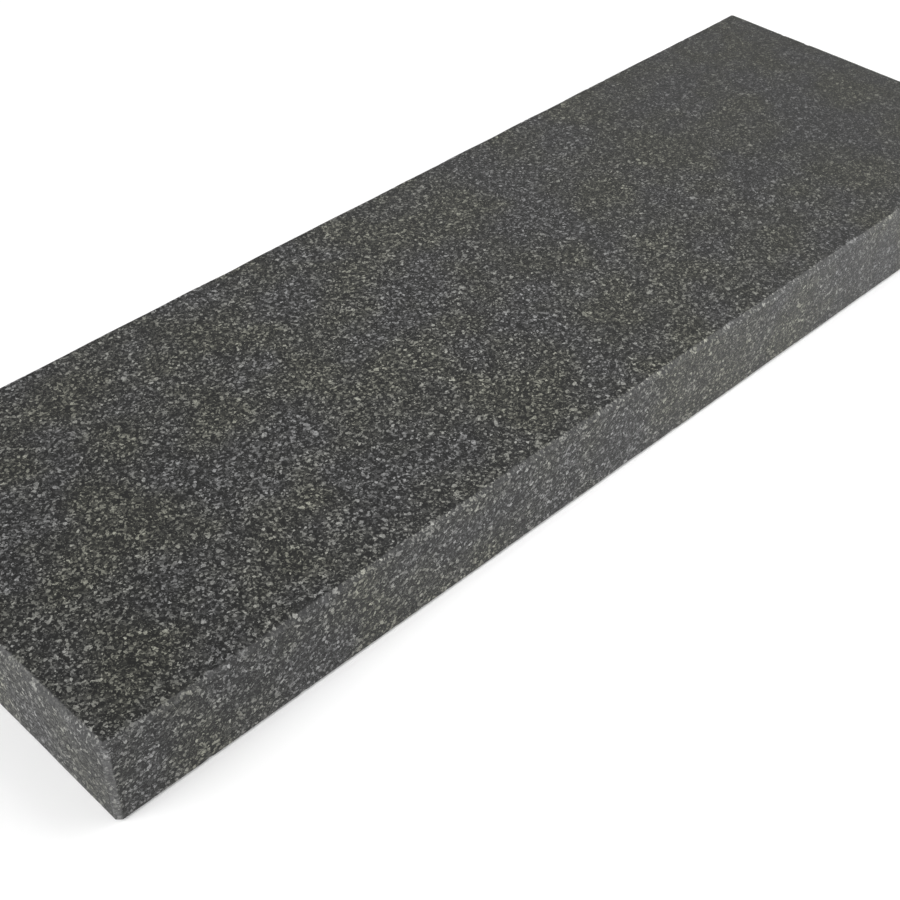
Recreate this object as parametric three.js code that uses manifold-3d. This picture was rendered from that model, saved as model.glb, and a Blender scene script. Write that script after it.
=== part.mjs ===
// A granite slab for a leather worker's bench: one solid block of dark, fine-grained stone.
// It is sawn square on all six sides, and every edge is eased by a small flat arris at 45 degrees,
// so that it neither cuts a hand nor chips when something knocks it.
//
// Millimetres. +X runs along the length, +Y across the width and +Z up.
// The origin is the centre of the underside.

import * as THREE from "three";
import { mergeVertices } from "three/addons/utils/BufferGeometryUtils.js";
import Module from "manifold-3d";

// Driving dimensions
const slabLength = 1000;
const slabWidth = 330;
const slabThickness = 70;
const upperArris = 3; // round the working face
const cornerArris = 3; // down the four upright corners
const lowerArris = 2; // round the underside
const overrun = 20; // how far each saw cut runs on past the block

const graniteFinish = { color: 0x4a4a48, roughness: 0.6, metalness: 0 };

const wasm = await Module();
wasm.setup();

// A rectangle that stands on the line y = 0, centred on x = 0, with its corners cut off at 45 degrees.
// Each cut takes the same length off both of the sides that it joins.
function easedRectangle(across, up, lowerCut, upperCut) {
  const side = across / 2;
  const outline = new THREE.Shape();
  outline.moveTo(-side + lowerCut, 0);
  outline.lineTo(side - lowerCut, 0);
  outline.lineTo(side, lowerCut);
  outline.lineTo(side, up - upperCut);
  outline.lineTo(side - upperCut, up);
  outline.lineTo(-side + upperCut, up);
  outline.lineTo(-side, up - upperCut);
  outline.lineTo(-side, lowerCut);
  outline.closePath();
  return outline;
}

// A straight prism of that outline, run through the block and past both of its sides.
// The outline's own x, its own y and the run go along the three directions given.
function sawnPrism(outline, blockSide, alongX, alongY, alongRun) {
  const run = blockSide + 2 * overrun;
  const prism = new THREE.ExtrudeGeometry(outline, { depth: run, bevelEnabled: false });
  prism.translate(0, 0, -run / 2);
  prism.applyMatrix4(new THREE.Matrix4().makeBasis(alongX, alongY, alongRun));
  return prism;
}

function toSolid(geometry) {
  const bare = geometry.clone();
  bare.deleteAttribute("normal");
  bare.deleteAttribute("uv");
  const merged = mergeVertices(bare);
  return new wasm.Manifold(
    new wasm.Mesh({
      numProp: 3,
      vertProperties: merged.attributes.position.array,
      triVerts: new Uint32Array(merged.index.array),
    }),
  );
}

function toGeometry(solid) {
  const { vertProperties, triVerts } = solid.getMesh();
  const geometry = new THREE.BufferGeometry();
  geometry.setAttribute("position", new THREE.BufferAttribute(vertProperties, 3));
  geometry.setIndex(new THREE.BufferAttribute(triVerts, 1));
  const faceted = geometry.toNonIndexed();
  faceted.computeVertexNormals();
  return faceted;
}

// The block is what three sawn prisms have in common: its section seen from the end, its section seen
// from the long side, and its outline seen from above. Where three arrises meet at a corner, the cuts
// leave the same small facets that a mason's stone leaves.
function makeSlab() {
  const x = new THREE.Vector3(1, 0, 0);
  const y = new THREE.Vector3(0, 1, 0);
  const z = new THREE.Vector3(0, 0, 1);

  const endSection = easedRectangle(slabWidth, slabThickness, lowerArris, upperArris);
  const sideSection = easedRectangle(slabLength, slabThickness, lowerArris, upperArris);
  const planOutline = easedRectangle(slabLength, slabWidth, cornerArris, cornerArris);

  const lengthwise = sawnPrism(endSection, slabLength, y, z, x);
  const crosswise = sawnPrism(sideSection, slabWidth, x, z, y.clone().negate());
  const upright = sawnPrism(planOutline, 2 * slabThickness, x, y, z);
  upright.translate(0, -slabWidth / 2, 0);

  const block = toSolid(lengthwise).intersect(toSolid(crosswise)).intersect(toSolid(upright));
  const slab = new THREE.Mesh(
    toGeometry(block),
    new THREE.MeshStandardMaterial({ ...graniteFinish, flatShading: true }),
  );
  slab.name = "granite_slab";
  return slab;
}

const group = new THREE.Group();
group.add(makeSlab());

export default group;
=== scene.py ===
# %% [markdown]
# # A granite slab for a leather worker's bench
#
# The real thing is one block of dark, fine-grained granite. A saw has cut all six sides, the top has been
# honed flat, and every edge has been eased with a grinder to a narrow flat called an arris. Nothing is
# joined to it and nothing moves, so all of its character is in three things: how true the block is, how
# the arrises have been ground and nicked, and the stone itself.
#
# This lesson builds the block as one watertight skin with numpy, and then makes four finishes from one
# granite: honed on top, ground on the arrises, sawn on the sides, and rough sawn underneath.

import bpy
import numpy as np
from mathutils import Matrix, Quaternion, Vector


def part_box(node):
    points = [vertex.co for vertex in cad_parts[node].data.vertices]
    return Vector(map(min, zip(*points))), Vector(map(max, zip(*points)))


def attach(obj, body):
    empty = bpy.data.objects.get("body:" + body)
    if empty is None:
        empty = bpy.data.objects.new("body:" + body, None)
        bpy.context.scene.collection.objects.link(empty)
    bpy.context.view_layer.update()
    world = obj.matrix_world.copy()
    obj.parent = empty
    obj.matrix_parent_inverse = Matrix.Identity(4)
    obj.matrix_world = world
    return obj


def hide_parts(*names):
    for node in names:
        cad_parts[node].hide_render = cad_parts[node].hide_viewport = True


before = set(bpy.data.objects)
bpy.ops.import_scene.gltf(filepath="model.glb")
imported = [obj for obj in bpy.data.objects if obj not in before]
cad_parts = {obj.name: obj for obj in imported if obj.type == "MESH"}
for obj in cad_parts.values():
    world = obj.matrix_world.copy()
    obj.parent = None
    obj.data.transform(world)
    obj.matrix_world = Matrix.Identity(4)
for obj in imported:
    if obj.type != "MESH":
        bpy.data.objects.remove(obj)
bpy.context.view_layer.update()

MM = 0.001
BLOCK = "granite_slab"

low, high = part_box(BLOCK)
length, width, thickness = high - low
print(f"block {length / MM:.0f} x {width / MM:.0f} x {thickness / MM:.0f} mm")

# %% [markdown]
# ## Measure the arrises
#
# An arris is the flat that is left when a sharp edge is ground off. The measured block has plain ones at
# 45 degrees, so their width can be read from its own corner points: where the top flat ends short of the
# block's full length, the difference is the upper arris. Reading it keeps the fine skin and the measured
# block in step.

# %% Measure the arrises
TOUCH = 0.05 * MM

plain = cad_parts[BLOCK].data
plain_points = np.empty(len(plain.vertices) * 3, np.float32)
plain.vertices.foreach_get("co", plain_points)
plain_points = plain_points.reshape(-1, 3)

on_top = plain_points[:, 2] > high.z - TOUCH
on_foot = plain_points[:, 2] < low.z + TOUCH
on_end = plain_points[:, 0] > high.x - TOUCH
upper_arris = float(high.x - plain_points[on_top, 0].max())
lower_arris = float(high.x - plain_points[on_foot, 0].max())
corner_arris = float(high.y - plain_points[on_end, 1].max())
arrises = np.array([upper_arris, lower_arris, corner_arris])
print("upper, lower and corner arris in mm:", (arrises / MM).round(1))

# %% [markdown]
# ## The camera
#
# The slab is seen from above one of its corners, with a lens a little longer than normal, so that its long
# sides run away to the right and past the edge of the view. The camera is placed by what it looks at, from
# how far and along which bearing, because those few numbers say more about the view than a place and three
# angles would.

# %% The camera
LENS = 64.0  # millimetres, on a sensor 36 mm wide
VIEW_BEARING = np.radians(44.20)  # from +Y towards +X
VIEW_FALL = np.radians(40.73)  # below level
VIEW_ROLL = np.radians(-0.41)
VIEW_DISTANCE = 1.1063
LOOK_ALONG = -0.1762  # shares of the length and of the width, from the middle of the top
LOOK_ACROSS = -0.3567

look_at = Vector((LOOK_ALONG * length, LOOK_ACROSS * width, high.z))
ahead = Vector((
    np.sin(VIEW_BEARING) * np.cos(VIEW_FALL),
    np.cos(VIEW_BEARING) * np.cos(VIEW_FALL),
    -np.sin(VIEW_FALL),
))
camera = bpy.data.objects.new("camera", bpy.data.cameras.new("camera"))
camera.data.lens = LENS
camera.rotation_mode = "QUATERNION"
camera.location = look_at - ahead * VIEW_DISTANCE
camera.rotation_quaternion = ahead.to_track_quat("-Z", "Y") @ Quaternion((0, 0, 1), VIEW_ROLL)
bpy.context.scene.collection.objects.link(camera)
bpy.context.scene.camera = camera
print("camera stands at", [round(c, 3) for c in camera.location])

# %% [markdown]
# ## A loop round the block
#
# Seen from above, the block is a rectangle with its four corners cut off. The skin is a profile carried
# round that outline, so the first thing to make is one loop of points. Each loop has the same number of
# points in the same order, which lets any two of them be joined by a band of four-sided faces.
#
# Further in on the flat top, the loops have to turn into a plain rectangle, so that an ordinary grid fits
# inside them. A single number, the squareness, slides each corner from the straight cut out to the sharp
# corner.

# %% A loop round the block
LONG_STEPS = 720
SHORT_STEPS = 240
CORNER_STEPS = 8
SUPPORT = 0.35 * MM  # the narrow face beside each arris line

ALONG = np.array([(1, 0), (0, 1), (-1, 0), (0, -1)], float)
OUTWARD = np.array([(0, -1), (1, 0), (0, 1), (-1, 0)], float)


def side_places(reach, steps):
    """Places along a side from -reach, with a narrow step at each end and even ones between.

    The place at reach itself is left out, because the corner run starts there.
    """
    return np.concatenate([[-reach], np.linspace(SUPPORT - reach, reach - SUPPORT, steps - 1)])[:, None]


def block_loop(half_length, half_width, leg, squareness):
    """Points round the block, anticlockwise from above, as an (n, 2) array.

    A side runs from one leg short of its first corner to one leg short of its second. A corner run goes from
    there to the next side: straight over the cut at squareness 0, out to the sharp corner and back at 1.
    """
    runs = []
    for side, (along, outward) in enumerate(zip(ALONG, OUTWARD)):
        reach, away = (half_length, half_width) if side % 2 == 0 else (half_width, half_length)
        steps = LONG_STEPS if side % 2 == 0 else SHORT_STEPS
        runs.append(outward * away + along * side_places(reach - leg, steps))

        w = np.linspace(0, 1, CORNER_STEPS, endpoint=False)[:, None]
        sharp = outward * away + along * reach
        start, end = sharp - along * leg, sharp - outward * leg
        over_the_cut = start + (end - start) * w
        out_to_the_corner = start + (sharp - start) * 2 * w
        back_from_it = sharp + (end - sharp) * (2 * w - 1)
        round_the_corner = np.where(w < 0.5, out_to_the_corner, back_from_it)
        runs.append((1 - squareness) * over_the_cut + squareness * round_the_corner)
    return np.concatenate(runs)


outline = block_loop(length / 2, width / 2, corner_arris, 0)
LOOP_POINTS = len(outline)
is_corner = np.concatenate([
    np.arange(steps + CORNER_STEPS) >= steps for steps in (LONG_STEPS, SHORT_STEPS, LONG_STEPS, SHORT_STEPS)
])
print("points in a loop:", LOOP_POINTS)

# %% [markdown]
# ## The profile
#
# The profile is the line that a finger would follow from under the slab, out round the lower arris, up the
# side, over the upper arris and in across the top. Each step of it says how far in from the outline and
# how high it is. Steps lie close together on both sides of every arris line, because smooth shading blurs
# each bend over the faces beside it: narrow faces there give a crisp bend with a hair of wear, as ground
# stone has.

# %% The profile
FLAT_BORDER = 15 * MM  # how far the loops go in over the top and the underside
BORDER_ROWS = 4
ARRIS_ROWS = 6
SIDE_ROWS = 13
GROUPS = ("under", "lower arris", "side", "upper arris", "over")


def profile_rows(upper, lower):
    """The inset and the height of each row, from under the slab to the top.

    Over an arris the inset falls or rises by the same steps as the height, so the arris lies at 45 degrees.
    """
    arris = np.linspace(0, 1, ARRIS_ROWS + 1)
    border = np.linspace(0, 1, BORDER_ROWS + 1) ** 2
    under = lower + SUPPORT + (FLAT_BORDER - lower - SUPPORT) * border[::-1]
    over = upper + SUPPORT + (FLAT_BORDER - upper - SUPPORT) * border
    side = np.linspace(low.z + lower + SUPPORT, high.z - upper - SUPPORT, SIDE_ROWS + 1)
    inset = np.concatenate([under, lower * (1 - arris), 0 * side, upper * arris, over])
    height = np.concatenate([
        low.z + 0 * under,
        low.z + lower * arris,
        side,
        high.z - upper * (1 - arris),
        high.z + 0 * over,
    ])
    return inset, height


row_counts = [BORDER_ROWS + 1, ARRIS_ROWS + 1, SIDE_ROWS + 1, ARRIS_ROWS + 1, BORDER_ROWS + 1]
first_row = dict(zip(GROUPS, np.cumsum([0] + row_counts[:-1])))
ROWS = sum(row_counts)
print("rows in the profile:", ROWS, first_row)

# %% [markdown]
# ## Carry the profile round
#
# Every row is a loop drawn in by its inset. Where the outline is drawn in by a distance, a 45 degree
# corner cut gets shorter by that distance times two less the root of two, which is what keeps all the
# arris faces flat where three of them meet at a corner.

# %% Carry the profile round
MITRE = 2 - np.sqrt(2)
SQUARE_LEG = 5 * MM  # the leg once the corner is square


def carried_profile(upper, lower, corner):
    """Rows of loops as a (rows, n, 3) array, for arrises of these sizes.

    The corner's leg is corner - MITRE * inset on the arrises. Past them, over the flats, it grows to
    SQUARE_LEG while the squareness goes from 0 to 1.
    """
    rows = []
    for inset, height in zip(*profile_rows(upper, lower)):
        squareness = max(inset - upper, 0) / (FLAT_BORDER - upper)
        cut = max(corner - MITRE * min(inset, upper), 0)
        leg = cut + (SQUARE_LEG - cut) * squareness
        loop = block_loop(length / 2 - inset, width / 2 - inset, leg, squareness)
        rows.append(np.column_stack([loop, np.full(LOOP_POINTS, height)]))
    return np.array(rows)


drawn = carried_profile(upper_arris, lower_arris, corner_arris)
print("skirt points:", ROWS * LOOP_POINTS)

# %% [markdown]
# ## Smooth noise
#
# Stone and hand work both wander without repeating. Random numbers on a lattice, blended smoothly in
# between, give that wander at any scale, and the same seed always gives the same slab.

# %% Smooth noise
TABLE_SIDE = 61


def lattice_noise(places, spacing, seed):
    """Smooth noise from 0 to 1 at each place.

    Random numbers sit on a cubic lattice with this spacing. The eight round a place are blended by
    t * t * (3 - 2 * t), where t is how far it is from one lattice plane to the next.
    """
    table = np.random.default_rng(seed).random((TABLE_SIDE,) * 3)
    cell = places / spacing
    base = np.floor(cell).astype(int)
    t = cell - base
    t = t * t * (3 - 2 * t)
    total = np.zeros(len(places))
    for step in np.ndindex(2, 2, 2):
        weight = np.prod(np.where(step, t, 1 - t), axis=1)
        x, y, z = ((base + step) % TABLE_SIDE).T
        total += weight * table[x, y, z]
    return total


# %% [markdown]
# ## Arrises ground by hand
#
# A mason walks along the edge with a grinder, so an arris is never quite even: here it is as narrow as it
# was drawn, there a little wider. Three more skirts are made, each with one kind of arris at its widest.
# Noise then blends each point from the drawn skirt towards them, and because every blend of two flat
# chamfers is a flat chamfer, the wandering arris stays clean.

# %% Arrises ground by hand
WIDEST = 1.45  # times the drawn arris
HAND_LENGTH = 38 * MM  # how far it takes the grinder to wander
TREMOR_LENGTH = HAND_LENGTH / 5
TREMOR_SHARE = 0.2
HAND_SEED = 31
TREMOR_SEED = 41


def wandering_skirt():
    """drawn + share * (widest - drawn) for each kind of arris.

    The share is mostly the slow wander of the hand, squared so that wide places are rare, and partly its
    tremor.
    """
    widest = (
        carried_profile(upper_arris * WIDEST, lower_arris, corner_arris),
        carried_profile(upper_arris, lower_arris * WIDEST, corner_arris),
        carried_profile(upper_arris, lower_arris, corner_arris * WIDEST),
    )
    on_outline = np.tile(np.column_stack([outline, np.zeros(LOOP_POINTS)]), (ROWS, 1))
    places = (on_outline, on_outline, drawn.reshape(-1, 3))
    made = drawn.copy()
    for edge, (wide, place) in enumerate(zip(widest, places)):
        hand = lattice_noise(place, HAND_LENGTH, HAND_SEED + edge)
        tremor = lattice_noise(place, TREMOR_LENGTH, TREMOR_SEED + edge)
        share = ((1 - TREMOR_SHARE) * hand ** 2 + TREMOR_SHARE * tremor).reshape(ROWS, LOOP_POINTS, 1)
        made += share * (wide - drawn)
    return made


skirt = wandering_skirt()
print(f"widest wander: {np.abs(skirt - drawn).max() / MM:.2f} mm")

# %% [markdown]
# ## The two flat fields
#
# The middle of the top and of the underside are flat, so they need far fewer points than the arrises do.
# Each is a plain grid with one line for every fourth point of the loop. A band of triangles, five for
# every four steps of the loop, joins the fine loop to the coarse grid without leaving a gap.

# %% The two flat fields
COARSER = 4
SAME_PLACE = 9  # decimals of a metre to which two equal places agree
JOINING_BAND = 5 * MM
FIELD_BORDER = FLAT_BORDER + JOINING_BAND

field_loop = block_loop(length / 2 - FIELD_BORDER, width / 2 - FIELD_BORDER, SQUARE_LEG, 1)[::COARSER]
field_x = np.unique(field_loop[:, 0].round(SAME_PLACE))
field_y = np.unique(field_loop[:, 1].round(SAME_PLACE))
field_index = np.arange(len(field_x) * len(field_y)).reshape(len(field_x), len(field_y))


def field_points(height):
    """The grid's points at one height, line by line."""
    x, y = np.meshgrid(field_x, field_y, indexing="ij")
    return np.column_stack([x.ravel(), y.ravel(), np.full(x.size, height)])


def field_faces():
    """Four-sided faces of the grid, facing up."""
    i = field_index
    return np.stack([i[:-1, :-1], i[1:, :-1], i[1:, 1:], i[:-1, 1:]], axis=-1).reshape(-1, 4)


def field_edge():
    """The grid's outermost points in the loop's order, starting where the loop does."""
    i = field_index
    return np.roll(np.concatenate([i[:-1, 0], i[-1, :-1], i[:0:-1, -1], i[0, :0:-1]]), -1)


def joining_band(fine, coarse):
    """Five triangles for each coarse step, facing up, with the fine loop outside the coarse one."""
    f = [np.roll(fine, -k)[::COARSER] for k in range(COARSER + 1)]
    here, there = coarse, np.roll(coarse, -1)
    first_half = ((f[0], f[1], here), (f[1], f[2], here), (f[2], there, here))
    second_half = ((f[2], f[3], there), (f[3], f[4], there))
    return np.concatenate([np.column_stack(triangle) for triangle in first_half + second_half])


print("field:", field_index.shape[0], "x", field_index.shape[1], "points")

# %% [markdown]
# ## Put the skin together
#
# The skin is the skirt, the two fields and the two bands. Each face also gets the number of its finish,
# from the row that it starts on, so that the change from honed to ground to sawn falls exactly on the
# arris lines.

# %% Put the skin together
HONED, GROUND, SAWN, ROUGH = range(4)


def skirt_faces():
    """Four-sided faces between neighbouring rows and points, facing out, row by row."""
    index = np.arange(ROWS * LOOP_POINTS).reshape(ROWS, LOOP_POINTS)
    next_along = np.roll(index, -1, axis=1)
    return np.stack([index[:-1], next_along[:-1], next_along[1:], index[1:]], axis=-1).reshape(-1, 4)


def skirt_finishes():
    """The finish of each skirt face: by its row, and ground down the upright corners."""
    by_row = np.full(ROWS - 1, SAWN)
    by_row[:first_row["lower arris"]] = ROUGH
    by_row[first_row["lower arris"]:first_row["side"] - 1] = GROUND
    by_row[first_row["upper arris"]:first_row["over"] - 1] = GROUND
    by_row[first_row["over"] - 1:] = HONED
    finish = np.repeat(by_row[:, None], LOOP_POINTS, axis=1)
    finish[(by_row == SAWN)[:, None] & is_corner] = GROUND
    return finish.ravel()


def build_mesh(name, points, quads, triangles, finishes):
    """One mesh from arrays: its points, its four-sided faces, its triangles and the finish of each face."""
    corners = np.concatenate([quads.ravel(), triangles.ravel()])
    starts = np.concatenate([np.arange(len(quads)) * 4, quads.size + np.arange(len(triangles)) * 3])
    mesh = bpy.data.meshes.new(name)
    mesh.vertices.add(len(points))
    mesh.vertices.foreach_set("co", points.astype(np.float32).ravel())
    mesh.loops.add(len(corners))
    mesh.loops.foreach_set("vertex_index", corners.astype(np.int32))
    mesh.polygons.add(len(starts))
    mesh.polygons.foreach_set("loop_start", starts.astype(np.int32))
    mesh.polygons.foreach_set("material_index", finishes.astype(np.int32))
    mesh.polygons.foreach_set("use_smooth", np.ones(len(starts), bool))
    mesh.update(calc_edges=True)
    return mesh


under_start = ROWS * LOOP_POINTS
over_start = under_start + field_index.size
first_loop = np.arange(LOOP_POINTS)
last_loop = first_loop + (ROWS - 1) * LOOP_POINTS

points = np.concatenate([skirt.reshape(-1, 3), field_points(low.z), field_points(high.z)])
quads = np.concatenate([skirt_faces(), field_faces()[:, ::-1] + under_start, field_faces() + over_start])
under_band = joining_band(first_loop, field_edge() + under_start)[:, ::-1]
over_band = joining_band(last_loop, field_edge() + over_start)
finishes = np.concatenate([
    skirt_finishes(),
    np.full(len(field_faces()), ROUGH),
    np.full(len(field_faces()), HONED),
    np.full(len(under_band), ROUGH),
    np.full(len(over_band), HONED),
])
stone_mesh = build_mesh("stone", points, quads, np.concatenate([under_band, over_band]), finishes)
print("triangles:", 2 * len(quads) + len(under_band) + len(over_band))

# %% [markdown]
# ## Stone is only ever lost
#
# Each finish has its own depth of relief. The honed top is flat to a hundredth of a millimetre, grains
# have been torn out of the arrises, and the sawn sides ripple a little where the blade pushed. All of it
# only takes stone away, so the finished skin stays inside the measured block. Which way a point faces says
# how much of each relief it gets, so that one fades into the next over the arrises.

# %% Where each relief is felt
normals = np.empty(len(points) * 3, np.float32)
stone_mesh.vertex_normals.foreach_get("vector", normals)
normals = normals.reshape(-1, 3).astype(float)

everywhere = np.ones(len(points))
sloping = np.sqrt(np.clip(2 - 2 * (normals ** 2).max(axis=1), 0, 1))  # 0 on the flats, 1 on an arris
upright = np.abs(normals[:, :2]).max(axis=1)
underneath = np.clip(-normals[:, 2], 0, 1)
print(f"points on slopes: {int((sloping > 0.5).sum())}")

# %% Wear the surface back
RELIEFS = (  # where it is felt, how deep it goes, the size of its patches, and its seed
    (everywhere, 0.01 * MM, 9 * MM, 11),  # honing
    (sloping, 0.14 * MM, 2.4 * MM, 12),  # grains torn out by the grinder
    (upright, 0.12 * MM, 45 * MM, 13),  # ripples where the blade pushed
    (upright, 0.06 * MM, 5 * MM, 14),  # grains torn out by the saw
    (underneath, 0.15 * MM, 12 * MM, 15),  # the rough-sawn foot
)

lost = np.zeros(len(points))
for felt, depth, patch, seed in RELIEFS:
    lost += felt * depth * lattice_noise(points, patch, seed)
worn = points - normals * lost[:, None]
print(f"most stone worn off: {lost.max() / MM:.2f} mm")

# %% [markdown]
# ## Bites out of the arrises
#
# Granite breaks in small shells. A bite is made by a ball that stands mostly outside the stone: every
# point inside the ball is pushed straight away from its centre until it lies on it. Small bites are common
# and deep ones are rare, so the depths are drawn from a curve that is steep at the shallow end. Each point
# remembers how deep it was bitten, because a fresh break has a look of its own.

# %% Bites out of the arrises
BITES = 320
BITE_RADIUS = (2.0 * MM, 6.0 * MM)
BITE_DEPTH = (0.15 * MM, 1.0 * MM)
SMALL_FAVOURED = 2  # the power that a random number is raised to, so that small radii are common
SHALLOW_FAVOURED = 4  # and shallow bites commoner still
UPPER_SHARE = 0.55
CORNER_SHARE = 0.12
BITE_SEED = 2024

chance = np.random.default_rng(BITE_SEED)


def bite_balls():
    """Centres and radii of the balls.

    Each centre stands over a random point of an arris, along its normal, at the radius less the bite's depth.
    """
    radius = BITE_RADIUS[0] + (BITE_RADIUS[1] - BITE_RADIUS[0]) * chance.random(BITES) ** SMALL_FAVOURED
    depth = BITE_DEPTH[0] + (BITE_DEPTH[1] - BITE_DEPTH[0]) * chance.random(BITES) ** SHALLOW_FAVOURED
    upper = chance.random(BITES) < UPPER_SHARE
    row = np.where(upper, first_row["upper arris"], first_row["lower arris"])
    row = row + (chance.random(BITES) * ARRIS_ROWS).round().astype(int)
    spot = chance.integers(LOOP_POINTS, size=BITES)

    down_a_corner = chance.random(BITES) < CORNER_SHARE
    side_row = first_row["side"] + chance.integers(SIDE_ROWS, size=BITES)
    corner_spot = chance.choice(np.flatnonzero(is_corner), size=BITES)
    row = np.where(down_a_corner, side_row, row)
    spot = np.where(down_a_corner, corner_spot, spot)
    index = row * LOOP_POINTS + spot
    return worn[index] + normals[index] * (radius - depth)[:, None], radius


def bitten(places, centres, radii):
    """The places, with those inside a ball moved straight away from its centre on to it."""
    places = places.copy()
    for centre, radius in zip(centres, radii):
        near = np.flatnonzero(np.abs(places - centre).max(axis=1) < radius)
        away = places[near] - centre
        distance = np.linalg.norm(away, axis=1)
        inside = distance < radius
        places[near[inside]] = centre + away[inside] * (radius / distance[inside])[:, None]
    return places


# %% Bite the skin
FULLY_BROKEN = 0.12 * MM  # a bite at least this deep shows nothing of the old finish

finished = bitten(worn, *bite_balls())
finished = np.clip(finished, np.array(low), np.array(high))
bite_depth = np.linalg.norm(finished - worn, axis=1)
stone_mesh.vertices.foreach_set("co", finished.astype(np.float32).ravel())
broken = stone_mesh.attributes.new("broken", "FLOAT", "POINT")
broken.data.foreach_set("value", np.clip(bite_depth / FULLY_BROKEN, 0, 1).astype(np.float32))
stone_mesh.update()
print("points in bites:", int((bite_depth > 0).sum()), f"deepest {bite_depth.max() / MM:.2f} mm")

# %% [markdown]
# ## Wiring helpers
#
# A material is a tree of nodes. Seven small functions keep the trees readable: one adds a node and fills
# its inputs, and the others are for what a stone needs again and again: sums of numbers and of vectors,
# values carried to a new range, mixed numbers and colours, and soft noise.

# %% Wiring helpers


def wire(tree, kind, inputs=None, **settings):
    """Adds a node. An input given another node's output is linked to it, and the rest are plain values."""
    node = tree.nodes.new("ShaderNode" + kind)
    for name, value in settings.items():
        setattr(node, name, value)
    for key, value in (inputs or {}).items():
        if isinstance(value, bpy.types.NodeSocket):
            tree.links.new(value, node.inputs[key])
        else:
            node.inputs[key].default_value = value
    return node


def sums(tree, operation, first, second=0.0, third=0.0):
    """One sum of up to three numbers."""
    return wire(tree, "Math", {0: first, 1: second, 2: third}, operation=operation).outputs[0]


def vector_sum(tree, operation, first, second):
    """One sum of two vectors, or of a vector and a number."""
    key = "Scale" if operation == "SCALE" else 1
    return wire(tree, "VectorMath", {0: first, key: second}, operation=operation).outputs[0]


def rescaled(tree, value, from_range, to_range):
    """value carried from one range to another in a straight line, and held at the ends."""
    inputs = {0: value, 1: from_range[0], 2: from_range[1], 3: to_range[0], 4: to_range[1]}
    return wire(tree, "MapRange", inputs).outputs[0]


def blended(tree, share, first, second):
    """first with this share of second mixed in, for two numbers."""
    return wire(tree, "Mix", {"Factor": share, 2: first, 3: second}).outputs[0]


def mixed(tree, share, first, second):
    """first with this share of second laid over it, for two colours."""
    return wire(tree, "Mix", {"Factor": share, 6: first, 7: second}, data_type="RGBA").outputs[2]


MOST_NOISE = (0.3, 0.7)  # nearly all soft noise lies between these
SOFT, RAGGED, RICH = 2.0, 3.0, 4.0  # layers of noise, each half the size of the one before


def scattered(tree, place, size, layers=SOFT):
    """Soft noise with patches of about this size, with finer layers added to them."""
    return wire(tree, "TexNoise", {"Vector": place, "Scale": 1 / size, "Detail": layers}).outputs


# %% [markdown]
# ## The minerals
#
# Granite is a packed mass of crystals. In this one most are black mica and dark hornblende, between grey
# feldspars, with a scatter of pale flecks. Here they are all plain greys, and the tint comes later in
# large soft patches, because that is how it reads on the real slab: as a cast over many crystals at once.
# A colour ramp with plain steps turns one random number into one mineral: the wider a step, the more there
# is of that mineral.

# %% The minerals
MINERALS = (  # from where in the random number each starts, and its brightness
    ("black mica", 0.00, 0.004),
    ("hornblende", 0.29, 0.011),
    ("smoky feldspar", 0.49, 0.024),
    ("grey feldspar", 0.65, 0.060),
    ("pale feldspar", 0.81, 0.176),
    ("white feldspar", 0.965, 0.275),
)


def grey(bright):
    """A plain grey of this brightness."""
    return (bright, bright, bright, 1)


def mineral_colours(tree, number):
    """The grey of the last mineral that starts at or below the number."""
    ramp = wire(tree, "ValToRGB", {"Fac": number})
    ramp.color_ramp.interpolation = "CONSTANT"
    steps = ramp.color_ramp.elements
    while len(steps) < len(MINERALS):
        steps.new(1.0)
    for step, (_, start, bright) in zip(steps, MINERALS):
        step.position = start
        step.color = grey(bright)
    return ramp.outputs["Color"]


print("minerals:", ", ".join(name for name, _, _ in MINERALS))

# %% [markdown]
# ## Crystals that fill space
#
# Crystals grow until they meet, so they fill the stone with no gaps. A Voronoi pattern does the same: it
# owns space in cells, each of the points nearest to its own centre, and gives every cell random numbers.
# Each crystal also broke or was cut at its own angle, so a cell gets a facet that leans in a direction of
# its own and catches the light apart from its neighbours. The places are bent a little first, so that no
# cell has a straight side.

# %% Crystals that fill space
BEND_SIZE = 2.0 * MM
BEND_AMOUNT = 0.8 * MM
MIDDLE = (0.5, 0.5, 0.5)  # of three random numbers, and of coloured noise


def crystal_cells(tree, place, size):
    """Voronoi cells of about this size: three random numbers for each, and how high its leaning facet stands.

    The facet's height is the place's offset from the cell's centre, times a random direction, added up.
    """
    cells = wire(tree, "TexVoronoi", {"Vector": place, "Scale": 1 / size}, voronoi_dimensions="3D")
    offset = vector_sum(tree, "SUBTRACT", place, cells.outputs["Position"])
    lean = vector_sum(tree, "SUBTRACT", cells.outputs["Color"], MIDDLE)
    facet = wire(tree, "VectorMath", {0: offset, 1: lean}, operation="DOT_PRODUCT").outputs["Value"]
    return wire(tree, "SeparateColor", {0: cells.outputs["Color"]}).outputs, facet


def bent_place(tree, place):
    """The place, plus coloured noise less its middle, times twice the amount."""
    bend = vector_sum(tree, "SUBTRACT", scattered(tree, place, BEND_SIZE)["Color"], MIDDLE)
    return vector_sum(tree, "ADD", place, vector_sum(tree, "SCALE", bend, 2 * BEND_AMOUNT))
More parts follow.
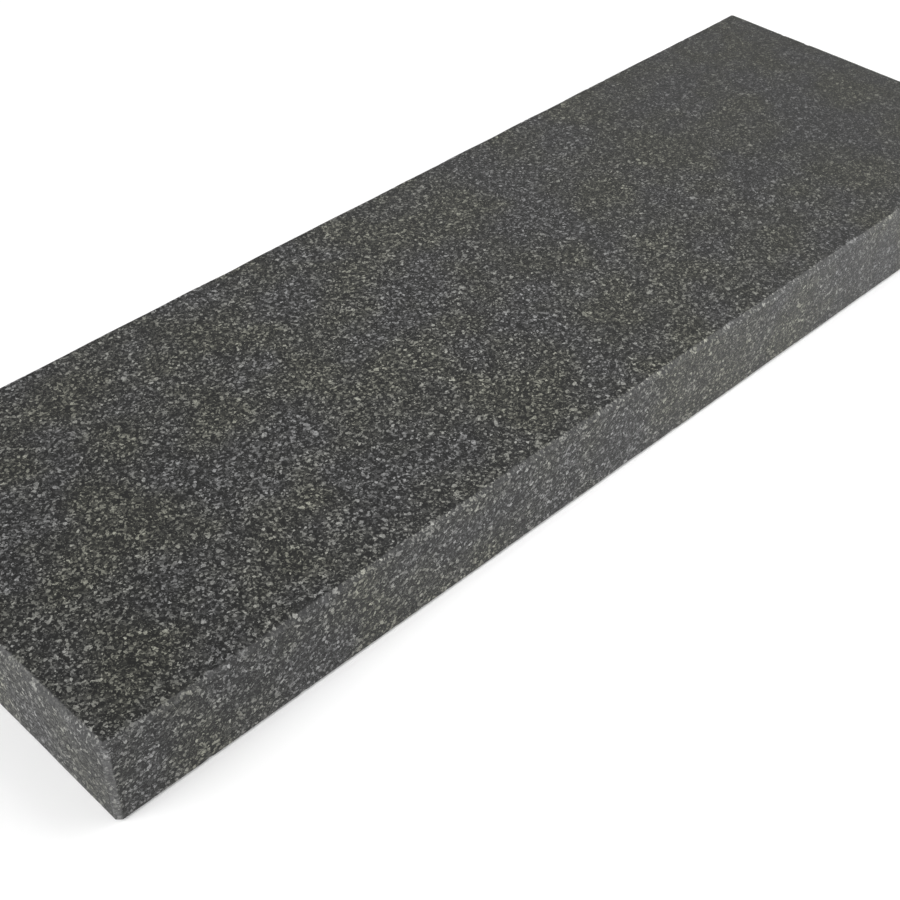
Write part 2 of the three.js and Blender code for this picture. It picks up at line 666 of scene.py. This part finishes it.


# %% [markdown]
# ## Two sizes of crystal
#
# The crystals of a real stone are never all one size, so two sizes of cell are laid together, and one of
# the coarse cell's random numbers says whether the coarse or the fine crystal shows. Towards the far end
# (+X) the coarse share falls, and the grain sinks part of the way into one even grey. This is a painted
# sheen: it stands for the veil that a grazing reflection lays over a honed top, and for the blur of
# distance, not for a change in the stone.

# %% Two sizes of crystal
COARSE_CRYSTAL = 2.0 * MM
FINE_CRYSTAL = 1.2 * MM
COARSE_SHARE = 0.66  # of the ground, at the coarse end of the slab
FINER_BY = 0.50  # how much of that share is gone at the fine end
FINER_ALONG = (-0.1, 0.5)  # from where to where it grows finer, in lengths from the middle
VEIL_FLATTENS = 0.50  # how far the grain is flattened into one grey at the far end, a painted sheen
VEIL_GREY = 0.040


def far_veil_share(tree, place):
    """0 up to where the grain begins to grow finer, then in a straight line to 1 at the fine end."""
    x = wire(tree, "SeparateXYZ", {0: place}).outputs[0]
    return rescaled(tree, x, [share * length for share in FINER_ALONG], (0.0, 1.0))


def packed_crystals(tree, bent, far_veil):
    """The mineral number, the tone and the facet of whichever crystal shows, and a spare random number.

    The fine crystal shows where the coarse cell's third number is over share - finer by * fine end.
    """
    coarse, coarse_facet = crystal_cells(tree, bent, COARSE_CRYSTAL)
    fine, fine_facet = crystal_cells(tree, bent, FINE_CRYSTAL)
    coarse_share = sums(tree, "MULTIPLY_ADD", far_veil, -FINER_BY, COARSE_SHARE)
    is_fine = sums(tree, "GREATER_THAN", coarse[2], coarse_share)
    number = blended(tree, is_fine, coarse[0], fine[0])
    tone = blended(tree, is_fine, coarse[1], fine[1])
    facet = blended(tree, is_fine, coarse_facet, fine_facet)
    return number, tone, facet, fine[2]


# %% [markdown]
# ## Flecks and inclusions
#
# Here and there lies a larger, paler crystal, and every feldspar has tiny dark and pale grains caught
# inside it. Both are further Voronoi patterns, of which only the cells with a random number past a limit
# are used. The inclusions are only partly laid over, as they lie a little below the surface and are seen
# through the crystal.

# %% Flecks and inclusions
FLECK = 2.7 * MM
FLECK_SHARE = 0.012
FLECK_BRIGHT = 0.28
INCLUSION = 0.75 * MM
DARK_SHARE = 0.20
DARK_COVER = 0.6
DARK_BRIGHT = 0.008
PALE_SHARE = 0.08
PALE_COVER = 0.5
PALE_BRIGHT = 0.16


def with_flecks(tree, stone, bent):
    """The stone, with a pale grey wherever a fleck cell's number is over 1 - share."""
    fleck, _ = crystal_cells(tree, bent, FLECK)
    is_fleck = sums(tree, "GREATER_THAN", fleck[0], 1 - FLECK_SHARE)
    return mixed(tree, is_fleck, stone, grey(FLECK_BRIGHT))


def with_inclusions(tree, stone, bent):
    """The stone, partly covered by small grains: dark where a cell's number is high, pale where it is low.

    High is over 1 - dark share, and low is under the pale share.
    """
    number = crystal_cells(tree, bent, INCLUSION)[0][0]
    is_dark = sums(tree, "GREATER_THAN", number, 1 - DARK_SHARE)
    is_pale = sums(tree, "LESS_THAN", number, PALE_SHARE)
    stone = mixed(tree, sums(tree, "MULTIPLY", is_dark, DARK_COVER), stone, grey(DARK_BRIGHT))
    return mixed(tree, sums(tree, "MULTIPLY", is_pale, PALE_COVER), stone, grey(PALE_BRIGHT))


# %% [markdown]
# ## Clouds and grit
#
# Seen from further off, a granite has soft clouds: here a little lighter, there a little more olive, where
# some of its dark minerals have turned to green ones. From close by, each crystal differs from the next of
# its kind, and is itself gritty. So three tones are multiplied: one for each crystal, one for the clouds
# and one for the grit.

# %% Clouds and grit
CLOUD = 70 * MM
COOL_TINT = (1.00, 1.00, 0.99, 1)
OLIVE_TINT = (1.00, 1.00, 0.83, 1)
OLIVE_FROM = (0.4, 0.6)  # the cloud's noise where olive begins, and where it is full
GRIT = 0.5 * MM
CRYSTAL_TONES = (0.70, 1.30)
CLOUD_TONES = (0.95, 1.05)
GRIT_TONES = (0.78, 1.22)


def clouded(tree, stone, cloud):
    """The stone's colour times a tint that goes from cool to olive with the cloud."""
    olive = rescaled(tree, cloud, OLIVE_FROM, (0.0, 1.0))
    return vector_sum(tree, "MULTIPLY", stone, mixed(tree, olive, COOL_TINT, OLIVE_TINT))


def shade_of(tree, tone, cloud, grit):
    """The crystal's tone times the cloud's tone times the grit's tone."""
    shade = rescaled(tree, tone, (0.0, 1.0), CRYSTAL_TONES)
    shade = sums(tree, "MULTIPLY", shade, rescaled(tree, cloud, MOST_NOISE, CLOUD_TONES))
    return sums(tree, "MULTIPLY", shade, rescaled(tree, grit, MOST_NOISE, GRIT_TONES))


# %% [markdown]
# ## The granite
#
# Now the stone is put together once, as a node group that all four finishes share. A group is a box of
# nodes with sockets of its own: a place goes in, and what the crystals are like there comes out.

# %% The granite
CRYSTAL_RELIEF = 0.6  # how much of the relief is whole crystals, the rest being grit
CRYSTAL_GLOSS = 0.7  # how much of the gloss goes with a crystal's tone, the rest being chance


def new_group(name, outputs):
    """An empty node group that takes a place, its place socket, and its output node's inputs by name."""
    tree = bpy.data.node_groups.new(name, "ShaderNodeTree")
    tree.interface.new_socket("Place", in_out="INPUT", socket_type="NodeSocketVector")
    for socket, kind in outputs.items():
        tree.interface.new_socket(socket, in_out="OUTPUT", socket_type="NodeSocket" + kind)
    place = tree.nodes.new("NodeGroupInput").outputs["Place"]
    return tree, place, tree.nodes.new("NodeGroupOutput").inputs


def granite_crystals():
    """A node group: place in; colour, relief, facet height and gloss of the bare crystals out."""
    sockets = {"Colour": "Color", "Relief": "Float", "Facet": "Float", "Gloss": "Float"}
    tree, place, out = new_group("granite_crystals", sockets)
    bent = bent_place(tree, place)
    far_veil = far_veil_share(tree, place)
    cloud = scattered(tree, place, CLOUD, RAGGED)["Fac"]
    grit = scattered(tree, place, GRIT)["Fac"]

    number, tone, facet, spare = packed_crystals(tree, bent, far_veil)
    stone = with_flecks(tree, mineral_colours(tree, number), bent)
    stone = with_inclusions(tree, stone, bent)
    # Painted sheen: towards the far end the grain is flattened into one grey, as a grazing reflection would
    # veil it.
    stone = mixed(tree, sums(tree, "MULTIPLY", far_veil, VEIL_FLATTENS), stone, grey(VEIL_GREY))
    stone = clouded(tree, stone, cloud)

    grit_relief = sums(tree, "MULTIPLY", grit, 1 - CRYSTAL_RELIEF)
    chance_gloss = sums(tree, "MULTIPLY", spare, 1 - CRYSTAL_GLOSS)
    tree.links.new(vector_sum(tree, "SCALE", stone, shade_of(tree, tone, cloud, grit)), out["Colour"])
    tree.links.new(sums(tree, "MULTIPLY_ADD", number, CRYSTAL_RELIEF, grit_relief), out["Relief"])
    tree.links.new(facet, out["Facet"])
    tree.links.new(sums(tree, "MULTIPLY_ADD", tone, CRYSTAL_GLOSS, chance_gloss), out["Gloss"])
    return tree


crystals = granite_crystals()
print("granite nodes:", len(crystals.nodes))

# %% [markdown]
# ## Pale edges: wear and painted highlight
#
# Every knock on an edge crushes a few crystals to white powder, so the arrises of a used slab are paler
# than its faces. Added to that wear, the paleness here is a painted highlight, standing in for the light
# that the arrises catch. The pale runs out over the arris lines in a ragged border. It is heaviest down the
# upright corners, less along the two ends, and least along the long sides, by how brightly each kind of
# arris catches the light. On a 45 degree arris, the distances in from its two faces always add up to the
# arris's leg, and beside it they add up to more, so that one sum finds the edge.

# %% Pale edges, worn and painted highlight
PALE_EDGE_REACH = 1.8 * MM  # how far it fades out beyond an arris line
PALE_EDGE_RAGGED = 2.6 * MM  # how far its border strays, out and in together
PALE_EDGE_SIZE = 1.6 * MM
CORNER_PALE_EDGE = 0.66  # shares of paleness on the arris itself: white powder and painted highlight
END_PALE_EDGE = 0.36
LONG_PALE_EDGE = 0.08


def edge_wear_and_highlight():
    """A node group: place in; how pale the edge is there out, from 0 to 1, as wear and as painted highlight.

    For each kind of edge, a + b + ragged noise is carried from (leg, leg + reach) to (full paleness, none),
    where a and b are the distances in from the two faces that meet there. The largest of the three wins.
    where a and b are the distances in from the two faces that meet there. The largest of the three wins.
    """
    tree, place, out = new_group("edge_wear_and_highlight", {"PaleEdge": "Float"})
    x, y, z = wire(tree, "SeparateXYZ", {0: place}).outputs
    from_end = sums(tree, "SUBTRACT", length / 2, sums(tree, "ABSOLUTE", x))
    from_side = sums(tree, "SUBTRACT", width / 2, sums(tree, "ABSOLUTE", y))
    from_flat = sums(tree, "MINIMUM", sums(tree, "SUBTRACT", high.z, z), sums(tree, "SUBTRACT", z, low.z))
    noise = scattered(tree, place, PALE_EDGE_SIZE, RAGGED)["Fac"]
    ragged = sums(tree, "MULTIPLY_ADD", noise, PALE_EDGE_RAGGED, -PALE_EDGE_RAGGED / 2)

    most = 0.0
    # These shares are wear together with a painted highlight: palest down the upright corners, which catch
    # the most light.
    edges = (
        (from_end, from_side, CORNER_PALE_EDGE),
        (from_end, from_flat, END_PALE_EDGE),
        (from_side, from_flat, LONG_PALE_EDGE),
    )
    for first, second, full in edges:
        away = sums(tree, "ADD", sums(tree, "ADD", first, second), ragged)
        fade = rescaled(tree, away, (corner_arris, corner_arris + PALE_EDGE_REACH), (full, 0.0))
        most = sums(tree, "MAXIMUM", fade, most)
    tree.links.new(most, out["PaleEdge"])
    return tree


pale_edge_group = edge_wear_and_highlight()
print("bruise nodes:", len(pale_edge_group.nodes))

# %% [markdown]
# ## The marks of each tool
#
# A disc saw leaves the edge of its blade on the stone as a row of arcs, which all have the blade's radius.
# An arc that starts at the foot has gone along by the root of h * (2 * R - h) at a height h. With that
# taken off the distance along the side, each arc becomes one number, and noise along that number draws
# them all. The gang saw that cut the underside left long, slightly bowed scores, and a coarse grinding
# disc tears out grains.

# %% The marks of each tool
BLADE_RADIUS = 300 * MM
BLADE_OVERCUT = 4 * MM  # how far below the slab the blade reached
BLADE_PITCH = 2.4 * MM
BLADE_MARK = 0.16 * MM
GANG_PITCH = 3 * MM
GANG_MARK = 0.12 * MM
GANG_BOW = 0.06  # how fast the scores bend along the slab
TORN_SIZE = 0.9 * MM
TORN_DEPTH = 0.15 * MM


def noise_along(tree, number, pitch, layers):
    """Noise along a line, with a change about every pitch."""
    inputs = {"W": number, "Scale": 1 / pitch, "Detail": layers}
    return wire(tree, "TexNoise", inputs, noise_dimensions="1D").outputs["Fac"]


def blade_arcs(tree, place):
    """Arcs of a disc saw: noise along (x + y) - sqrt(h * (2 * R - h)).

    h is the height above the lowest point that the blade reached, and R is its radius.
    """
    x, y, z = wire(tree, "SeparateXYZ", {0: place}).outputs
    h = sums(tree, "ADD", z, BLADE_OVERCUT - low.z)
    drop = sums(tree, "SQRT", sums(tree, "MULTIPLY", h, sums(tree, "SUBTRACT", 2 * BLADE_RADIUS, h)))
    arc = sums(tree, "SUBTRACT", sums(tree, "ADD", x, y), drop)
    return noise_along(tree, arc, BLADE_PITCH, RAGGED), BLADE_MARK


def gang_saw_scores(tree, place):
    """Long, nearly straight scores of a gang saw: noise along y + bow * x * x."""
    x, y, _ = wire(tree, "SeparateXYZ", {0: place}).outputs
    bow = sums(tree, "MULTIPLY", sums(tree, "MULTIPLY", x, x), GANG_BOW)
    return noise_along(tree, sums(tree, "ADD", y, bow), GANG_PITCH, RICH), GANG_MARK


def torn_grains(tree, place):
    """The torn surface that a coarse grinding disc leaves: noise a little finer than the crystals."""
    return scattered(tree, place, TORN_SIZE, RAGGED)["Fac"], TORN_DEPTH


# %% [markdown]
# ## How a tool leaves the stone
#
# The same crystals look different after each tool. Honing leaves them dark and clear. Grinding and sawing
# crack the surface finely, and the cracks scatter light, so that a pale haze lies over the grain. One
# function makes all the finishes, because they differ only in numbers: how clear and how glossy the
# crystals are, how heavy the haze is, how deep the relief is, and which marks the tool left. Weak crystals
# crush more than tough ones, so the pale edges, worn paler and painted with a highlight, are patchy from
# one crystal to the next. A fresh break shows clear crystals again, but with a rough face.

# %% How a tool leaves the stone
STONE_IOR = 1.5
HAZE_PATCH = 14 * MM
UNEVEN_HAZE = (0.5, 1.5)  # times the haze of the finish, from patch to patch
SMEAR = (-0.04, 0.04)  # added to the roughness, from patch to patch
PALE_EDGE_BY_CRYSTAL = (0.35, 1.45)  # times the pale edge, from the toughest crystals to the weakest
PALE_EDGE_CRYSTAL_GLOSS = (0.1, 0.9)  # the gloss numbers of those two
DUSTY_RIDGE = (0.5, 0.7)  # the height of a mark where dust begins to lie, and where it is full
MARK_DUST = 0.12
BREAK_HAZE = 0.35
BREAK_ROUGHNESS = 0.65


def tool_height(tree, grain, relief, tilt):
    """relief * the crystals' own relief + tilt * their facets' height."""
    height = sums(tree, "MULTIPLY", grain["Relief"], relief)
    return sums(tree, "MULTIPLY_ADD", grain["Facet"], tilt, height)


def haze_share(tree, grain, pale_edge, patch, haze):
    """The finish's own haze, uneven from patch to patch, + the pale edge (wear and painted highlight) * this
    crystal's share of it.
    """
    uneven = rescaled(tree, patch, MOST_NOISE, [haze * times for times in UNEVEN_HAZE])
    pale_edge_by_crystal = rescaled(tree, grain["Gloss"], PALE_EDGE_CRYSTAL_GLOSS, PALE_EDGE_BY_CRYSTAL)
    return sums(tree, "MULTIPLY_ADD", pale_edge, pale_edge_by_crystal, uneven)


def granite_finish(name, gain, gloss, haze, haze_bright, rough, relief, tilt, marks=None):
    """A material: the crystals, gain times as bright, under a pale haze.

    gloss is the strength of its shine, rough its (least, most) roughness, relief the depth in metres between
    hard and soft crystals, and tilt how steeply their facets lean. marks adds the tool's own lines: it takes
    the tree and the place, and returns a height from 0 to 1 and the depth in metres that it stands for.
    """
    material = bpy.data.materials.new(name)
    material.use_nodes = True
    tree = material.node_tree
    tree.nodes.clear()
    place = wire(tree, "TexCoord").outputs["Object"]
    grain = wire(tree, "Group", node_tree=crystals)
    pale_edge = wire(tree, "Group", node_tree=pale_edge_group)
    tree.links.new(place, grain.inputs["Place"])
    tree.links.new(place, pale_edge.inputs["Place"])
    bitten_away = wire(tree, "Attribute", attribute_name="broken").outputs["Fac"]
    patch = scattered(tree, place, HAZE_PATCH, RICH)["Fac"]

    height = tool_height(tree, grain.outputs, relief, tilt)
    # The pale edge, part wear and part painted highlight, is laid into the haze of the colour here.
    dusty = haze_share(tree, grain.outputs, pale_edge.outputs["PaleEdge"], patch, haze)
    if marks:
        line, depth = marks(tree, place)
        height = sums(tree, "MULTIPLY_ADD", line, depth, height)
        dusty = sums(tree, "ADD", dusty, rescaled(tree, line, DUSTY_RIDGE, (0.0, MARK_DUST)))

    share = blended(tree, bitten_away, dusty, BREAK_HAZE)
    bare = vector_sum(tree, "SCALE", grain.outputs["Colour"], gain)
    smear = rescaled(tree, patch, MOST_NOISE, SMEAR)
    matt = sums(tree, "ADD", rescaled(tree, grain.outputs["Gloss"], (0.0, 1.0), rough), smear)
    bump = wire(tree, "Bump", {"Height": height, "Distance": 1.0, "Strength": 1.0})
    shader = wire(tree, "BsdfPrincipled", {
        "Base Color": mixed(tree, share, bare, grey(haze_bright)),
        "Roughness": blended(tree, bitten_away, matt, BREAK_ROUGHNESS),
        "Normal": bump.outputs[0],
        "IOR": STONE_IOR,
        "Specular IOR Level": gloss,
    })
    out = wire(tree, "OutputMaterial")
    tree.links.new(shader.outputs[0], out.inputs["Surface"])
    return material


# %% [markdown]
# ## Four finishes of one stone
#
# From the top down: the top is honed, fine and dark. The arrises are ground, with a coarse disc and by
# hand. The sides are sawn, cleanly but with the arcs of the blade. The underside is as the gang saw left
# it, pale and rough, because nobody sees it and a rough bed doesn't slide.

# %% Four finishes of one stone
honed = granite_finish(
    "honed_granite", gain=0.82, gloss=0.36, haze=0.0, haze_bright=0.15, rough=(0.38, 0.62),
    relief=0.012 * MM, tilt=0.03,
)
ground = granite_finish(
    "ground_granite", gain=1.0, gloss=0.38, haze=0.08, haze_bright=0.15, rough=(0.50, 0.70),
    relief=0.04 * MM, tilt=0.12, marks=torn_grains,
)
sawn = granite_finish(
    "sawn_granite", gain=0.87, gloss=0.25, haze=0.02, haze_bright=0.12, rough=(0.38, 0.60),
    relief=0.03 * MM, tilt=0.08, marks=blade_arcs,
)
rough_sawn = granite_finish(
    "rough_sawn_granite", gain=1.2, gloss=0.30, haze=0.40, haze_bright=0.10, rough=(0.65, 0.85),
    relief=0.08 * MM, tilt=0.12, marks=gang_saw_scores,
)
print("finishes:", ", ".join(finish.name for finish in (honed, ground, sawn, rough_sawn)))

# %% [markdown]
# ## Dress the skin
#
# The four materials go on in the order of the finish numbers that the faces already carry. The stone then
# takes the place of the plain measured block.

# %% Dress the skin
stone = bpy.data.objects.new("stone", stone_mesh)
bpy.context.scene.collection.objects.link(stone)
for finish in (honed, ground, sawn, rough_sawn):
    stone_mesh.materials.append(finish)
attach(stone, "root")
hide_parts(BLOCK)
print("the stone's finishes:", len(stone_mesh.materials))

# %% [markdown]
# ## Floor and sky
#
# A white floor is what a studio gives a dark stone. Most of what lightens the slab's sides is the floor
# mirrored in them at a low angle, so the floor matters as much as the lamps. The sky is white at the
# horizon, so that it meets the floor without a line, and dim overhead, because the honed top mirrors it
# there, and a bright sky would wash out the grain.

# %% Floor and sky
FLOOR_HALF = 30.0
FLOOR_WHITE = 0.98
HORIZON_LIGHT = 1.02
OVERHEAD_LIGHT = 0.40
SKY_FADES = (0.08, 0.75)  # the sines of the heights where the sky begins to dim and where it is dimmest


def pale_floor():
    """A plain square under the slab, white and matt."""
    corners = [(-1, -1), (1, -1), (1, 1), (-1, 1)]
    mesh = bpy.data.meshes.new("floor")
    mesh.from_pydata([(x * FLOOR_HALF, y * FLOOR_HALF, low.z) for x, y in corners], [], [(0, 1, 2, 3)])
    material = bpy.data.materials.new("pale_floor")
    material.use_nodes = True
    shader = material.node_tree.nodes["Principled BSDF"]
    shader.inputs["Base Color"].default_value = grey(FLOOR_WHITE)
    shader.inputs["Roughness"].default_value = 1.0
    shader.inputs["Specular IOR Level"].default_value = 0.0
    mesh.materials.append(material)
    floor = bpy.data.objects.new("floor", mesh)
    bpy.context.scene.collection.objects.link(floor)


def soft_sky():
    """Even light from all round, carried from the horizon's brightness to the one overhead."""
    world = bpy.data.worlds.new("soft_sky")
    world.use_nodes = True
    tree = world.node_tree
    tree.nodes.clear()
    way = wire(tree, "TexCoord").outputs["Generated"]
    up = wire(tree, "SeparateXYZ", {0: way}).outputs[2]
    bright = rescaled(tree, up, SKY_FADES, (HORIZON_LIGHT, OVERHEAD_LIGHT))
    background = wire(tree, "Background", {"Color": (1, 1, 1, 1), "Strength": bright})
    out = wire(tree, "OutputWorld")
    tree.links.new(background.outputs[0], out.inputs["Surface"])
    bpy.context.scene.world = world


pale_floor()
soft_sky()
bpy.context.scene.view_settings.view_transform = "Standard"
print("sky nodes:", len(bpy.context.scene.world.node_tree.nodes))

# %% [markdown]
# ## Three lamps
#
# A window far away on the left gives the near end and the floor their light, as wide and even as on a grey
# day. A long, low box in front of the far end lifts the long side as it runs away. A small fill over the
# middle keeps the top from falling off there. None of the lamps is seen by the camera.

# %% Three lamps
WINDOW_LIGHT = 2.7
WINDOW_ANGLE = np.radians(70)  # how wide the window looks from the slab
WINDOW_BEARING = np.radians(265)  # from +Y towards +X
WINDOW_HEIGHT = np.radians(36)

BOX_WATTS = 9.5
BOX_LENGTH = 1.2
BOX_HEIGHT = 0.5
BOX_PLACE = (0.9, -1.0, 0.35)
BOX_AIM = (0.35 * length, low.y, high.z / 2)

FILL_WATTS = 0.6
FILL_SIDE = 0.4
FILL_SPREAD = np.radians(100)  # so that the beam fades before it reaches the ends
FILL_PLACE = (-0.02, -0.24, 0.75)
FILL_AIM = (-0.02, -0.08, high.z)


def hang_lamp(name, lamp, where, towards):
    """Hangs a lamp at one place, shining towards another."""
    holder = bpy.data.objects.new(name, lamp)
    holder.rotation_mode = "QUATERNION"
    holder.location = where
    holder.rotation_quaternion = (Vector(where) - Vector(towards)).to_track_quat("Z", "Y")
    holder.visible_camera = False
    bpy.context.scene.collection.objects.link(holder)
    print(f"lamp {name} shines with {lamp.energy}")


def window_light():
    """A wide, even lamp along one direction, given by its bearing and its height over the horizon."""
    lamp = bpy.data.lights.new("window", "SUN")
    lamp.energy = WINDOW_LIGHT
    lamp.angle = WINDOW_ANGLE
    level = np.cos(WINDOW_HEIGHT)
    where = Vector((np.sin(WINDOW_BEARING) * level, np.cos(WINDOW_BEARING) * level, np.sin(WINDOW_HEIGHT)))
    hang_lamp("window", lamp, where, (0, 0, 0))


def soft_box():
    """A long, low lamp in front of the far end."""
    lamp = bpy.data.lights.new("soft_box", "AREA")
    lamp.shape = "RECTANGLE"
    lamp.size = BOX_LENGTH
    lamp.size_y = BOX_HEIGHT
    lamp.energy = BOX_WATTS
    hang_lamp("soft_box", lamp, BOX_PLACE, BOX_AIM)


def fill_light():
    """A small soft lamp over the middle of the slab."""
    lamp = bpy.data.lights.new("fill", "AREA")
    lamp.shape = "SQUARE"
    lamp.size = FILL_SIDE
    lamp.spread = FILL_SPREAD
    lamp.energy = FILL_WATTS
    hang_lamp("fill", lamp, FILL_PLACE, FILL_AIM)


window_light()
soft_box()
fill_light()
